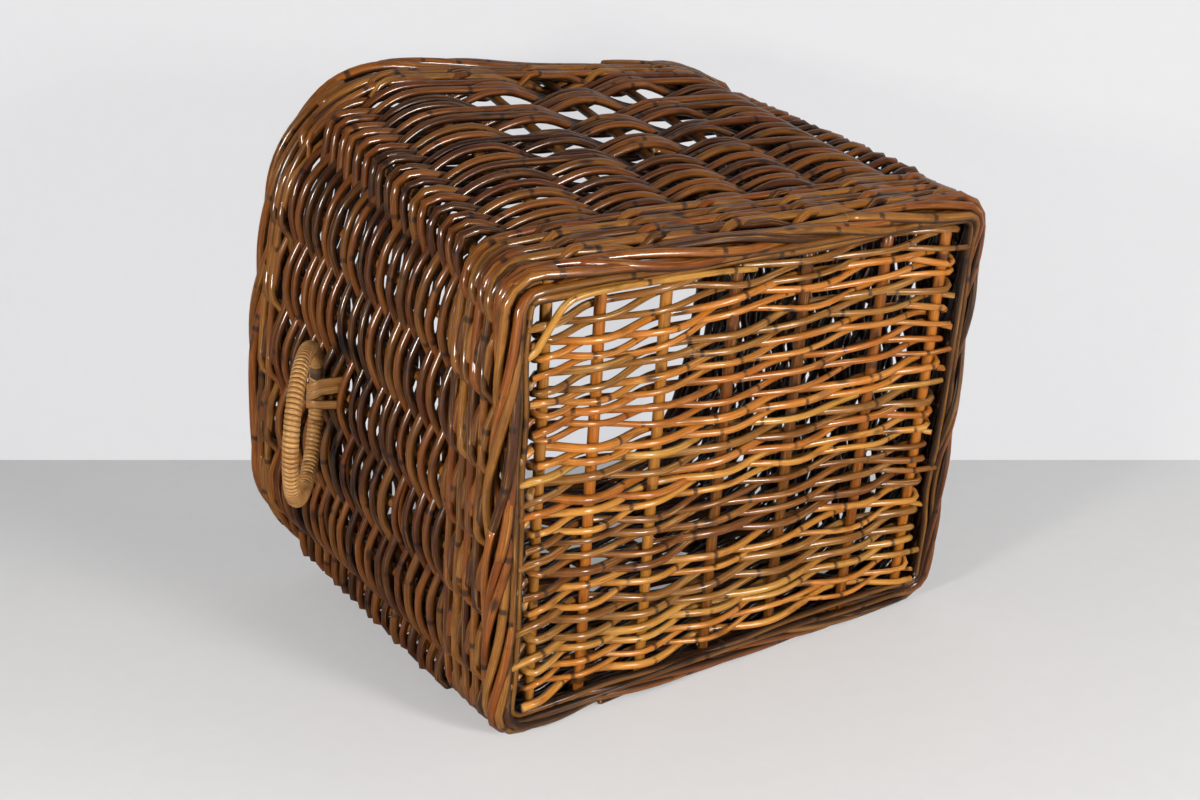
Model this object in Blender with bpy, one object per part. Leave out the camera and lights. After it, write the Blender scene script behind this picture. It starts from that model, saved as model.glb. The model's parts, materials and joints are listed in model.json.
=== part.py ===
# Rectangular willow basket with an open mouth, woven walls and a ring handle on each end.
# Metres, +Z up. The basket stands on its foot at z = 0, centred on the origin, its long sides along X.

import math

import bmesh
import bpy
from mathutils import Matrix, Vector

MM = 0.001

# Outer shape: the base outline, the mouth outline and the height between them
BASE_LENGTH = 380 * MM
BASE_WIDTH = 312 * MM
BASE_INNER_RADIUS = 2 * MM             # base corners, inside the foot
MOUTH_LENGTH = 410 * MM
MOUTH_WIDTH = 396 * MM
MOUTH_CORNER_RADIUS = 93 * MM
END_BOW = 12 * MM                      # the short ends swell outwards at the mouth
HEIGHT = 326 * MM
MOUTH_TWIST = math.radians(4)          # the mouth sits turned a little over the base
MOUTH_TILT_SHARE = 0.046               # and rises towards the back wall, per length across

# Clearances between touching pieces, and shading
FACE_GAP = 0.3 * MM
WEAVE_CLEARANCE = 0.4 * MM
SIDE_ROD_CLEARANCE = 0.4 * MM          # at a bend over a stake
BESIDE_CORNER_CLEARANCE = 1.1 * MM     # at the stakes next to a corner post, where rods bend more
BASE_ROD_CLEARANCE = 0.7 * MM          # at a sharper bend over a base stick
SHARP_ANGLE = math.radians(40)         # edges that turn more than this stay sharp

# Stakes and corner posts
SPANS_PER_SIDE = 6
STAKE_DIAMETER = 7.5 * MM
POST_DIAMETER = 9 * MM
STAKE_SIDES = 8
STAKE_FOOT_LIFT = 1.5 * MM

# Foot wale, side bands and mouth border
FOOT_HEIGHT = 18 * MM
FOOT_WALE_THICKNESS = 5.5 * MM
WEAVE_THICKNESS = 5.5 * MM
WEAVE_EDGE_SHARE = 0.5                 # thickness of a band at its edges, per full thickness
WEAVE_GRIP = 7 * MM                    # length of a band that lies flat against a stake
CORNER_GRIP = 16 * MM                  # and against a corner post, where it turns
UPSETT_TOP = 62 * MM                   # the upsett wale: stout rods over two stakes and under one
UPSETT_BANDS = 2
SIDE_COURSES = 7                       # plain weave above it, over one stake and under one
ROWS_PER_COURSE = 5                    # turns that one long rod makes round the basket
SIDE_ROD_THICKNESS = 4.8 * MM
RUN_START = 15                         # the stake, counted round the basket, where each rod starts
SLEWED_FROM_ROW = 11                   # from here up the long walls' rows run in bundles
SLEWED_BUNDLES = (3, 3, 3, 3, 4, 4, 4)
SLEWED_STAKES = (2, 3, 4)              # of each long wall, counted from its corner post
TOP_WALE_HEIGHT = 21 * MM              # and a last wale under the border
BORDER_HEIGHT = 20 * MM
BORDER_CHAMFER_SHARE = 0.3

# Base panel
STICK_SHARES = (-1, -0.76, -0.458, -0.123, 0.238, 0.662, 1)  # places along the base, by hand as laid
STICK_DIAMETER = 8.5 * MM
END_STICK_GAP = 0.2 * MM               # from the panel's edge to the rods that turn round an end stick
BASE_WEAVE_THICKNESS = 5 * MM
BASE_WEAVE_LIFT = 1 * MM               # underside of the panel above the ground
BASE_COURSES = 7
ROWS_PER_BASE_COURSE = 7               # times that one thin rod crosses the base, to and fro
BASE_TURN_SHARE = 0.25                 # of the way to the next row, at each bend round an end stick

# Ring handles
HOOP_OUTER_DIAMETER = 109 * MM
HOOP_CORE_DIAMETER = 7.6 * MM
HOOP_JOINT_DIAMETER = 9.8 * MM         # the core is thicker where its two ends overlap
CANE_WRAP_THICKNESS = 1.3 * MM
BARE_JOINT_LENGTH = 12 * MM
HOOP_WALL_CLEARANCE = 2.6 * MM
HANG_ANGLE = math.radians(34)          # from hanging plumb, as the handles rest
LASHED_BAND = 6                        # counted from the lowest band, which is 0
HOOP_STATIONS = 18
HOOP_SIDES = 8

# Lashing of flat cane
LASHING_WIDTH = 5 * MM
LASHING_THICKNESS = 1.4 * MM
LASHING_CLEARANCE = 0.5 * MM
LASHING_TURN_GAP = 0.6 * MM
LASHING_POINTS_PER_TURN = 22
LASHING_HOLD_SHARE = 0.2               # share of a turn that runs square to the hoop, each side
LASHING_TAIL_SHARE = 0.06              # share of a turn that each end runs on past the hoop

# Colours
SIDE_BROWN = (0.27, 0.105, 0.035)
FOOT_BROWN = (0.36, 0.16, 0.05)
STAKE_BROWN = (0.22, 0.09, 0.035)
BASE_HONEY = (0.52, 0.24, 0.06)
STICK_HONEY = (0.42, 0.19, 0.055)
CANE_TAN = (0.58, 0.37, 0.17)
CORE_BROWN = (0.36, 0.24, 0.14)

# Sizes that follow from the ones above
STAKE_COUNT = 4 * SPANS_PER_SIDE
WEAVE_OUT = STAKE_DIAMETER / 2 + WEAVE_CLEARANCE + WEAVE_THICKNESS
FOOT_IN = POST_DIAMETER / 2 + WEAVE_CLEARANCE
FOOT_OUT = FOOT_IN + FOOT_WALE_THICKNESS
BASE_CORNER_RADIUS = BASE_INNER_RADIUS + FOOT_OUT + WEAVE_OUT
HOOP_TUBE_RADIUS = HOOP_CORE_DIAMETER / 2 + FACE_GAP + CANE_WRAP_THICKNESS
HOOP_RADIUS = HOOP_OUTER_DIAMETER / 2 - HOOP_TUBE_RADIUS
LOWEST_BAND = FOOT_HEIGHT + FACE_GAP
BORDER_BOTTOM = HEIGHT - BORDER_HEIGHT
BAND_COUNT = UPSETT_BANDS + SIDE_COURSES + 1
UPSETT_PITCH = (UPSETT_TOP - LOWEST_BAND) / UPSETT_BANDS
COURSE_PITCH = (BORDER_BOTTOM - TOP_WALE_HEIGHT - UPSETT_TOP) / SIDE_COURSES
BASE_REACH = STICK_DIAMETER / 2 + BASE_ROD_CLEARANCE + BASE_WEAVE_THICKNESS / 2
PANEL_MIDDLE = BASE_WEAVE_LIFT + BASE_WEAVE_THICKNESS / 2 + BASE_REACH
PANEL_INSET = WEAVE_OUT + FOOT_OUT + FACE_GAP + BASE_INNER_RADIUS * (1 - math.cos(math.pi / 4))
PANEL_LENGTH = BASE_LENGTH - 2 * PANEL_INSET
PANEL_WIDTH = BASE_WIDTH - 2 * PANEL_INSET
END_STICK_PLACE = PANEL_LENGTH / 2 - END_STICK_GAP - BASE_WEAVE_THICKNESS / 2 - BASE_REACH


def start_empty():
    for old in list(bpy.data.objects):
        bpy.data.objects.remove(old)


def make_material(name, colour, roughness):
    material = bpy.data.materials.new(name)
    material.use_nodes = True
    shader = material.node_tree.nodes["Principled BSDF"]
    shader.inputs["Base Color"].default_value = (*colour, 1)
    shader.inputs["Roughness"].default_value = roughness
    shader.inputs["Metallic"].default_value = 0
    material.diffuse_color = (*colour, 1)
    return material


def make_object(name, bm, colour, roughness, smooth=True):
    bmesh.ops.recalc_face_normals(bm, faces=bm.faces)
    mesh = bpy.data.meshes.new(name)
    bm.to_mesh(mesh)
    bm.free()
    if smooth:
        mesh.shade_smooth()
        mesh.set_sharp_from_angle(angle=SHARP_ANGLE)
    mesh.materials.append(make_material(name, colour, roughness))
    thing = bpy.data.objects.new(name, mesh)
    bpy.context.collection.objects.link(thing)
    return thing


def skin_sections(bm, sections, closed):
    # Joins each section of points to the next one, and caps the two ends of an open run
    rings = [[bm.verts.new(point) for point in section] for section in sections]
    count = len(rings[0])
    pairs = list(zip(rings, rings[1:]))
    if closed:
        pairs.append((rings[-1], rings[0]))
    for ring, following in pairs:
        for i in range(count):
            j = (i + 1) % count
            bm.faces.new((ring[i], ring[j], following[j], following[i]))
    if not closed:
        bm.faces.new(rings[0])
        bm.faces.new(list(reversed(rings[-1])))
    return rings


def side_place(half_along, half_out, radius, bow, share):
    # One wall seen from above: how far along it, how far out, and how much its face has turned there
    arc = radius * math.pi / 4
    total = 2 * (half_along - radius) + 2 * arc
    reach = share * total
    corner_middle = half_along - radius + radius * math.sin(math.pi / 4)
    from_end = min(reach, total - reach)
    if from_end < arc:
        sign = -1 if share < 0.5 else 1
        turn = sign * math.pi / 4 * (1 - from_end / arc)
        along = sign * (half_along - radius) + radius * math.sin(turn)
        out = half_out - radius + radius * math.cos(turn)
    else:
        turn = 0
        along = reach - total / 2
        out = half_out
    return along, out + bow * (1 - (along / corner_middle) ** 2), turn


def outline(length, width, radius, bow, u):
    # A point and outward direction on a rounded rectangle; u counts stakes round the basket
    side = int(u // SPANS_PER_SIDE) % 4
    share = (u % SPANS_PER_SIDE) / SPANS_PER_SIDE
    long_side = side % 2 == 0
    halves = (length / 2, width / 2) if long_side else (width / 2, length / 2)
    along, out, turn = side_place(*halves, radius, 0 if long_side else bow, share)
    angle = side * math.pi / 2
    along_way = Vector((math.cos(angle), math.sin(angle)))
    out_way = Vector((math.sin(angle), -math.cos(angle)))
    place = along_way * along + out_way * out
    facing = along_way * math.sin(turn) + out_way * math.cos(turn)
    return place, facing


def wall(u, t, offset=0.0):
    # The middle surface that the stakes stand in, at height share t, moved outwards by offset
    low, low_facing = outline(BASE_LENGTH - 2 * WEAVE_OUT, BASE_WIDTH - 2 * WEAVE_OUT,
                              BASE_CORNER_RADIUS - WEAVE_OUT, 0, u)
    high, high_facing = outline(MOUTH_LENGTH - 2 * WEAVE_OUT, MOUTH_WIDTH - 2 * WEAVE_OUT,
                                MOUTH_CORNER_RADIUS - WEAVE_OUT, END_BOW, u)
    twist = Matrix.Rotation(MOUTH_TWIST, 2)
    high = twist @ high
    high_facing = twist @ high_facing
    flat = low.lerp(high, t) + low_facing.lerp(high_facing, t).normalized() * offset
    return Vector((flat.x, flat.y, t * (HEIGHT + MOUTH_TILT_SHARE * high.y)))


def facing_at(u, t):
    return (wall(u, t, HEIGHT) - wall(u, t)).normalized()


def is_post(stake):
    return stake % SPANS_PER_SIDE == 0


def stake_radius(stake):
    return (POST_DIAMETER if is_post(stake) else STAKE_DIAMETER) / 2


def stake_name(stake):
    side = stake // SPANS_PER_SIDE
    if is_post(stake):
        return "corner_post_" + ("front_left", "front_right", "back_right", "back_left")[side]
    return ("front", "right", "back", "left")[side] + "_stake_" + str(stake % SPANS_PER_SIDE)


def make_stakes():
    for stake in range(STAKE_COUNT):
        low = wall(stake, STAKE_FOOT_LIFT / HEIGHT)
        high = wall(stake, (BORDER_BOTTOM - FACE_GAP - WEAVE_CLEARANCE) / HEIGHT)
        radius = stake_radius(stake)
        sections = []
        for end in (low, high):
            turns = (2 * math.pi * i / STAKE_SIDES for i in range(STAKE_SIDES))
            sections.append([end + Vector((math.cos(a), math.sin(a), 0)) * radius for a in turns])
        bm = bmesh.new()
        skin_sections(bm, sections, closed=False)
        make_object(stake_name(stake), bm, STAKE_BROWN, 0.4)


def loop_stations(corner_radius, length, width, corner_steps):
    # Places round the basket that follow a rounded outline: the corner arcs and every stake
    places = []
    for side in range(4):
        along = length if side % 2 == 0 else width
        arc = corner_radius * math.pi / 4
        arc_share = arc / (along - 2 * corner_radius + 2 * arc)
        shares = [arc_share * i / corner_steps for i in range(corner_steps + 1)]
        shares += [1 - share for share in shares[1:]]
        shares += [i / SPANS_PER_SIDE for i in range(1, SPANS_PER_SIDE)]
        shares = sorted(set(round(share, 6) for share in shares))
        places += [(side + share) * SPANS_PER_SIDE for share in shares]
    return places


def make_foot():
    stations = loop_stations(BASE_CORNER_RADIUS - WEAVE_OUT, BASE_LENGTH - 2 * WEAVE_OUT,
                             BASE_WIDTH - 2 * WEAVE_OUT, 3)
    top = FOOT_HEIGHT / HEIGHT
    for name, near, far in (("foot_wale_outer", FOOT_IN, FOOT_OUT), ("foot_wale_inner", -FOOT_OUT, -FOOT_IN)):
        bm = bmesh.new()
        corners = ((near, 0), (far, 0), (far, top), (near, top))
        skin_sections(bm, [[wall(u, t, offset) for offset, t in corners] for u in stations], closed=True)
        make_object(name, bm, FOOT_BROWN, 0.38, smooth=False)


def make_border():
    stations = loop_stations(MOUTH_CORNER_RADIUS - WEAVE_OUT, MOUTH_LENGTH - 2 * WEAVE_OUT,
                             MOUTH_WIDTH - 2 * WEAVE_OUT, 3)
    low = BORDER_BOTTOM / HEIGHT
    cut_out = 2 * WEAVE_OUT * BORDER_CHAMFER_SHARE
    cut_up = BORDER_HEIGHT * BORDER_CHAMFER_SHARE / HEIGHT
    wide = WEAVE_OUT
    corners = ((-wide + cut_out, low), (wide - cut_out, low), (wide, low + cut_up), (wide, 1 - cut_up),
               (wide - cut_out, 1), (-wide + cut_out, 1), (-wide, 1 - cut_up), (-wide, low + cut_up))
    bm = bmesh.new()
    skin_sections(bm, [[wall(u, t, offset) for offset, t in corners] for u in stations], closed=True)
    make_object("mouth_border", bm, FOOT_BROWN, 0.38)


def is_wale(band):
    return band < UPSETT_BANDS or band == BAND_COUNT - 1


def band_name(band):
    if band < UPSETT_BANDS:
        return "upsett_wale_" + str(band + 1)
    if is_wale(band):
        return "top_wale"
    return "side_weave_" + str(band - UPSETT_BANDS + 1)


def band_side(band, stake):
    # 1 where a wale passes outside a stake, -1 where it passes inside
    return -1 if (band + stake) % 3 == 0 else 1


def weave_reach(stake):
    return stake_radius(stake) + WEAVE_CLEARANCE + WEAVE_THICKNESS / 2


def span_length(stake, t):
    return (wall(stake + 1, t) - wall(stake, t)).length


def grip_step(stake, span):
    return (CORNER_GRIP if is_post(stake) else WEAVE_GRIP) / 2 / span


def band_offset(band, stake, step, t):
    # Distance of the band's middle from the stakes' surface, step spans after a stake
    span = span_length(stake, t)
    leave = grip_step(stake, span)
    arrive = 1 - grip_step(stake + 1, span)
    here = band_side(band, stake) * weave_reach(stake)
    there = band_side(band, stake + 1) * weave_reach(stake + 1)
    move = min(max((step - leave) / (arrive - leave), 0), 1)
    return here + (there - here) * move


def band_edge(band):
    # Height of a band's lower edge, which is also where the band below it ends
    above = band - UPSETT_BANDS
    if above < 0:
        return LOWEST_BAND + band * UPSETT_PITCH
    if above <= SIDE_COURSES:
        return UPSETT_TOP + above * COURSE_PITCH
    return BORDER_BOTTOM


def band_heights(band):
    return band_edge(band) / HEIGHT, (band_edge(band + 1) - FACE_GAP) / HEIGHT


def lashed_stakes():
    # The middle stake of the right end and of the left end
    return [side * SPANS_PER_SIDE + SPANS_PER_SIDE // 2 for side in (1, 3)]


def lashing_places():
    inner = STAKE_DIAMETER / 2 + LASHING_CLEARANCE + LASHING_WIDTH / 2
    outer = inner + LASHING_WIDTH + LASHING_TURN_GAP
    return [-outer, -inner, inner, outer]


def lashing_reach():
    # How far each side of its stake a lashing needs the band drawn in
    return lashing_places()[-1] + LASHING_WIDTH / 2 + LASHING_CLEARANCE


def band_steps(stake, t):
    span = span_length(stake, t)
    leave = grip_step(stake, span)
    arrive = 1 - grip_step(stake + 1, span)
    return [0, leave, arrive] if is_post(stake) else [leave, arrive]


def make_wale(band):
    low, high = band_heights(band)
    middle = (low + high) / 2
    half = WEAVE_THICKNESS / 2
    edge = half * WEAVE_EDGE_SHARE
    corners = ((-edge, low), (edge, low), (half, middle), (edge, high), (-edge, high), (-half, middle))
    sections = []
    for stake in range(STAKE_COUNT):
        for step in band_steps(stake, middle):
            offset = band_offset(band, stake, step, middle)
            sections.append([wall(stake + step, t, offset + out) for out, t in corners])
    bm = bmesh.new()
    skin_sections(bm, sections, closed=True)
    make_object(band_name(band), bm, FOOT_BROWN, 0.36)


def bundle_of(row):
    # The bundle that a row of the long walls runs in, each row below the bundles counting as one
    bundle = SLEWED_FROM_ROW
    left = row - SLEWED_FROM_ROW
    if left < 0:
        return row
    for size in SLEWED_BUNDLES:
        if left < size:
            return bundle
        left -= size
        bundle += 1
    return bundle


def row_side(row, stake):
    # 1 where a row passes outside a stake, -1 where it passes inside
    on_long_wall = (stake // SPANS_PER_SIDE) % 2 == 0
    number = bundle_of(row) if on_long_wall and stake % SPANS_PER_SIDE in SLEWED_STAKES else row
    return 1 if (number + stake) % 2 == 1 else -1


def row_offset(row, stake, step, t):
    # Distance of a row's middle from the stakes' surface, step spans after a stake
    reaches = []
    for end in (stake, stake + 1):
        side = row_side(row, end % STAKE_COUNT)
        beside_corner = side > 0 and end % SPANS_PER_SIDE in (1, SPANS_PER_SIDE - 1)
        clearance = BESIDE_CORNER_CLEARANCE if beside_corner else SIDE_ROD_CLEARANCE
        if side < 0 and is_post(end):
            clearance = FACE_GAP
        reaches.append(side * (stake_radius(end) + clearance + SIDE_ROD_THICKNESS / 2))
    span = span_length(stake, t)
    leave = grip_step(stake, span) if is_post(stake) else 0
    arrive = 1 - grip_step(stake + 1, span) if is_post(stake + 1) else 1
    move = min(max((step - leave) / (arrive - leave), 0), 1)
    return reaches[0] + (reaches[1] - reaches[0]) * move


def row_heights(band, number, cut):
    # A row's lower and upper edge, in a band that is drawn in top and bottom by cut
    low, high = band_edge(band) + cut, band_edge(band + 1) - cut
    pitch = (high - low) / ROWS_PER_COURSE
    return (low + number * pitch) / HEIGHT, (low + (number + 1) * pitch - FACE_GAP) / HEIGHT


def row_steps(band, stake, t):
    # Places of a row's sections in a span, and how far the lashing draws the band in at each
    span = span_length(stake, t)
    steps = {0: 0}
    if is_post(stake):
        steps[grip_step(stake, span)] = 0
    if is_post(stake + 1):
        steps[1 - grip_step(stake + 1, span)] = 0
    if band == LASHED_BAND:
        cut = LASHING_THICKNESS + 2 * LASHING_CLEARANCE
        edge = (lashing_reach() + FACE_GAP) / span
        shoulder = (lashing_reach() + LASHING_THICKNESS) / span
        if stake in lashed_stakes():
            steps.update({0: cut, edge: cut, shoulder: 0})
        if stake + 1 in lashed_stakes():
            steps.update({1 - edge: cut, 1 - shoulder: 0})
    return sorted(steps.items())


def make_side_rod(band):
    # One rod that climbs a row at each turn round the basket, in the span before the stake it starts at
    half = SIDE_ROD_THICKNESS / 2
    sections = []
    for number in range(ROWS_PER_COURSE):
        row = (band - UPSETT_BANDS) * ROWS_PER_COURSE + number
        for count in range(STAKE_COUNT):
            stake = (RUN_START + count) % STAKE_COUNT
            middle = sum(row_heights(band, number, 0)) / 2
            steps = row_steps(band, stake, middle)
            if count == STAKE_COUNT - 1:
                steps = steps[:1]
            for step, cut in steps:
                low, high = row_heights(band, number, cut)
                offset = row_offset(row, stake, step, middle)
                corners = ((0, low), (half, (low + high) / 2), (0, high), (-half, (low + high) / 2))
                sections.append([wall(stake + step, t, offset + out) for out, t in corners])
    bm = bmesh.new()
    skin_sections(bm, sections, closed=False)
    make_object(band_name(band), bm, SIDE_BROWN, 0.36)


def stick_place(stick):
    return STICK_SHARES[stick] * END_STICK_PLACE


def make_sticks():
    radius = STICK_DIAMETER / 2
    for stick in range(len(STICK_SHARES)):
        sections = []
        for y in (-PANEL_WIDTH / 2, PANEL_WIDTH / 2):
            turns = (2 * math.pi * i / STAKE_SIDES for i in range(STAKE_SIDES))
            middle = Vector((stick_place(stick), y, PANEL_MIDDLE))
            sections.append([middle + Vector((math.cos(a), 0, math.sin(a))) * radius for a in turns])
        bm = bmesh.new()
        skin_sections(bm, sections, closed=False)
        make_object("base_stick_" + str(stick + 1), bm, STICK_HONEY, 0.4)


def make_base_weave():
    # Each course is one rod that crosses the base to and fro, and turns round the end sticks
    pitch = PANEL_WIDTH / (BASE_COURSES * ROWS_PER_BASE_COURSE)
    wide = (pitch - FACE_GAP) / 2
    thick = BASE_WEAVE_THICKNESS / 2
    for course in range(BASE_COURSES):
        sections = []
        for number in range(ROWS_PER_BASE_COURSE):
            row = course * ROWS_PER_BASE_COURSE + number
            y = (row + 0.5) * pitch - PANEL_WIDTH / 2
            sticks = list(range(len(STICK_SHARES)))
            if number % 2:
                sticks.reverse()
            outer = thick if row % 2 else -thick
            for stick in sticks:
                z = PANEL_MIDDLE + (BASE_REACH if (row + stick) % 2 else -BASE_REACH)
                corners = ((-wide, 0), (0, outer), (wide, 0), (0, -outer))
                sections.append([Vector((stick_place(stick), y + beside, z + up)) for beside, up in corners])
            if number < ROWS_PER_BASE_COURSE - 1:
                out = math.copysign(thick, stick_place(sticks[-1]))
                x = stick_place(sticks[-1]) + math.copysign(BASE_REACH, out)
                for share, up in ((BASE_TURN_SHARE, outer), (1 - BASE_TURN_SHARE, -outer)):
                    place = Vector((x, y + share * pitch, PANEL_MIDDLE + math.copysign(BASE_REACH, up)))
                    corners = ((0, -wide, 0), (out, 0, up), (0, wide, 0), (-out, 0, -up))
                    sections.append([place + Vector(corner) for corner in corners])
        bm = bmesh.new()
        skin_sections(bm, sections, closed=False)
        make_object("base_weave_" + str(course + 1), bm, BASE_HONEY, 0.36)


def hinge_frame(stake):
    # The point where a hoop turns in its lashing, the hinge's axis, and the way out of the wall
    low, high = band_heights(LASHED_BAND)
    middle = (low + high) / 2
    out = facing_at(stake, middle)
    stand_off = weave_reach(stake) + WEAVE_THICKNESS / 2 + HOOP_WALL_CLEARANCE + HOOP_TUBE_RADIUS
    return wall(stake, middle, stand_off), out.cross(Vector((0, 0, 1))), out


def hoop_point(turn, spin, radius):
    # Local to the hinge: the hoop hangs in the XZ plane, its top at the origin
    way = Vector((math.sin(turn), 0, math.cos(turn)))
    middle = way * HOOP_RADIUS - Vector((0, 0, HOOP_RADIUS))
    return middle + (way * math.cos(spin) + Vector((0, 1, 0)) * math.sin(spin)) * radius


def bare_turns():
    # The stretch of hoop that the wrapping leaves open, just beside the lashing
    end = -(lashing_reach() + LASHING_CLEARANCE) / HOOP_RADIUS
    return end - BARE_JOINT_LENGTH / HOOP_RADIUS, end


def hoop_section(turn, radius):
    return [hoop_point(turn, 2 * math.pi * i / HOOP_SIDES, radius) for i in range(HOOP_SIDES)]


def make_hoop(side_name, parent):
    start, end = bare_turns()
    wrapped = [end + (start + 2 * math.pi - end) * i / HOOP_STATIONS for i in range(HOOP_STATIONS + 1)]
    ease = (end - start) / 4
    core = HOOP_CORE_DIAMETER / 2
    joint = HOOP_JOINT_DIAMETER / 2
    sections = [hoop_section(turn, core) for turn in wrapped]
    sections += [hoop_section(turn, joint) for turn in (start + ease, end - ease)]
    bm = bmesh.new()
    skin_sections(bm, sections, closed=True)
    hoop = make_object(side_name + "_handle_hoop", bm, CORE_BROWN, 0.45)
    bm = bmesh.new()
    inside = core + FACE_GAP
    outside = inside + CANE_WRAP_THICKNESS
    outer = skin_sections(bm, [hoop_section(turn, outside) for turn in wrapped], closed=False)
    inner = skin_sections(bm, [hoop_section(turn, inside) for turn in wrapped], closed=False)
    bmesh.ops.delete(bm, geom=[f for f in bm.faces if len(f.verts) == HOOP_SIDES], context="FACES_ONLY")
    for end_out, end_in in ((outer[0], inner[0]), (outer[-1], inner[-1])):
        for i in range(HOOP_SIDES):
            j = (i + 1) % HOOP_SIDES
            bm.faces.new((end_out[i], end_out[j], end_in[j], end_in[i]))
    wrap = make_object(side_name + "_handle_cane_wrap", bm, CANE_TAN, 0.5)
    for thing in (hoop, wrap):
        thing.parent = parent


def make_hinge(side_name, stake):
    point, axis, out = hinge_frame(stake)
    down = Vector((0, 0, -1)) * math.cos(HANG_ANGLE) + out * math.sin(HANG_ANGLE)
    up = -down
    hinge = bpy.data.objects.new(side_name + "_handle_hinge", None)
    bpy.context.collection.objects.link(hinge)
    turned = Matrix((axis, up.cross(axis), up)).transposed().to_4x4()
    hinge.matrix_world = Matrix.Translation(point) @ turned
    return hinge


def lashing_offset(turn):
    # Where a run of the cane lies along the hinge's axis: it crosses over in front of the hoop
    places = lashing_places()
    index = min(max(int(math.floor(turn)), 0), len(places) - 2)
    move = (turn - index - LASHING_HOLD_SHARE) / (1 - 2 * LASHING_HOLD_SHARE)
    move = min(max(move, 0), 1)
    move = move * move * (3 - 2 * move)
    return places[index] + (places[index + 1] - places[index]) * move


def lashing_path(stake):
    # A belt round the hoop and the rods behind it, outside and inside their stake, turn by turn
    point, axis, out = hinge_frame(stake)
    low, high = band_heights(LASHED_BAND)
    middle = (low + high) / 2
    cut = (LASHING_THICKNESS + 2 * LASHING_CLEARANCE) / HEIGHT
    skin = LASHING_CLEARANCE + LASHING_THICKNESS / 2
    # between its sections the hoop's tube runs straight, a little inside its circle
    sag = HOOP_RADIUS * (1 - math.cos(math.pi / HOOP_STATIONS))
    # the hinge's axis may run against the way that the stakes are counted
    wall_way = 1 if axis.dot(wall(stake + 1, middle) - wall(stake, middle)) > 0 else -1
    first = -LASHING_TAIL_SHARE
    last = len(lashing_places()) - 1 - first
    steps = round((last - first) * LASHING_POINTS_PER_TURN)
    path = []
    for i in range(steps + 1):
        turn = first + (last - first) * i / steps
        across = lashing_offset(turn)
        dip = HOOP_RADIUS - math.sqrt(HOOP_RADIUS ** 2 - (abs(across) + LASHING_WIDTH / 2) ** 2)
        rounds = [((0, 0), HOOP_TUBE_RADIUS + dip + sag + skin)]
        for edge in (across - LASHING_WIDTH / 2, across + LASHING_WIDTH / 2):
            forward = edge * wall_way
            whole = stake if forward >= 0 else stake - 1
            step = forward / span_length(whole, middle) + stake - whole
            for row in range(2):
                offset = row_offset(row, whole, step, middle)
                for t in (low + cut, high - cut):
                    for face in (-WEAVE_THICKNESS / 2, WEAVE_THICKNESS / 2):
                        corner = wall(whole + step, t, offset + face) - point
                        rounds.append(((corner.dot(out), corner.z), skin))
        angle = math.pi + 2 * math.pi * turn
        way = (math.cos(angle), math.sin(angle))
        centre, radius = max(rounds, key=lambda r: r[0][0] * way[0] + r[0][1] * way[1] + r[1])
        place = (centre[0] + way[0] * radius, centre[1] + way[1] * radius)
        path.append((point + axis * across + out * place[0] + Vector((0, 0, place[1])),
                     out * way[0] + Vector((0, 0, way[1]))))
    return path, axis


def least_self_gap(path, axis):
    # Between stretches of the winding that are at least half a turn apart
    least = HEIGHT
    apart = LASHING_POINTS_PER_TURN // 2
    for i, (place, _) in enumerate(path):
        for other, _ in path[i + apart:]:
            across = abs((other - place).dot(axis))
            in_plane = (other - place - axis * (other - place).dot(axis)).length
            gap = math.hypot(max(across - LASHING_WIDTH, 0), max(in_plane - LASHING_THICKNESS, 0))
            least = min(least, gap)
    return least


def make_lashing(side_name, stake):
    path, axis = lashing_path(stake)
    wide = axis * (LASHING_WIDTH / 2)
    sections = []
    for place, way in path:
        thick = way * (LASHING_THICKNESS / 2)
        sections.append([place - wide - thick, place + wide - thick, place + wide + thick, place - wide + thick])
    bm = bmesh.new()
    skin_sections(bm, sections, closed=False)
    make_object(side_name + "_handle_lashing", bm, CANE_TAN, 0.5, smooth=False)
    print(side_name + " lashing, least gap to itself:", round(least_self_gap(path, axis) / MM, 2), "mm")


def make_handles():
    for side_name, stake in zip(("right", "left"), lashed_stakes()):
        hinge = make_hinge(side_name, stake)
        make_hoop(side_name, hinge)
        make_lashing(side_name, stake)
        point, axis, _ = hinge_frame(stake)
        print(side_name + " hinge:", [round(v, 5) for v in point], "axis:", [round(v, 5) for v in axis])


start_empty()
make_sticks()
make_base_weave()
make_foot()
make_stakes()
for number in range(BAND_COUNT):
    if is_wale(number):
        make_wale(number)
    else:
        make_side_rod(number)
make_border()
make_handles()
bpy.context.view_layer.update()
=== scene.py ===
import json
import math
import random

import bmesh
import bpy
import numpy as np
from mathutils import Matrix, Vector, noise


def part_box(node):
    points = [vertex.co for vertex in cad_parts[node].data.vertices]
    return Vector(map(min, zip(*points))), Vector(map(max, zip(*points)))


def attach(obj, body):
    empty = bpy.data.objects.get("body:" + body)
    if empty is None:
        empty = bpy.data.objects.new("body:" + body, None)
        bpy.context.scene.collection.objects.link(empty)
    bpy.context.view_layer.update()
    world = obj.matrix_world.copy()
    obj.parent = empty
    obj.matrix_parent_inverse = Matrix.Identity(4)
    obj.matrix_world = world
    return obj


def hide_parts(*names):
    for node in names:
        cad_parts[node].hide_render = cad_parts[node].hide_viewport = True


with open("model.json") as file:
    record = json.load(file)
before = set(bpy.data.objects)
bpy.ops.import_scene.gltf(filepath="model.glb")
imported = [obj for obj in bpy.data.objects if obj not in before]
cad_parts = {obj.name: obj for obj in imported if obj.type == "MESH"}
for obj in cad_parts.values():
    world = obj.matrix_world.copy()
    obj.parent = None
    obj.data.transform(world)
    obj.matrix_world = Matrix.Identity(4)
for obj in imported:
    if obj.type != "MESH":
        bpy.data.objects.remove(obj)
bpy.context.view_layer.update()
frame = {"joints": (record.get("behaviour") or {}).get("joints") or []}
random.seed(7)

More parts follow.
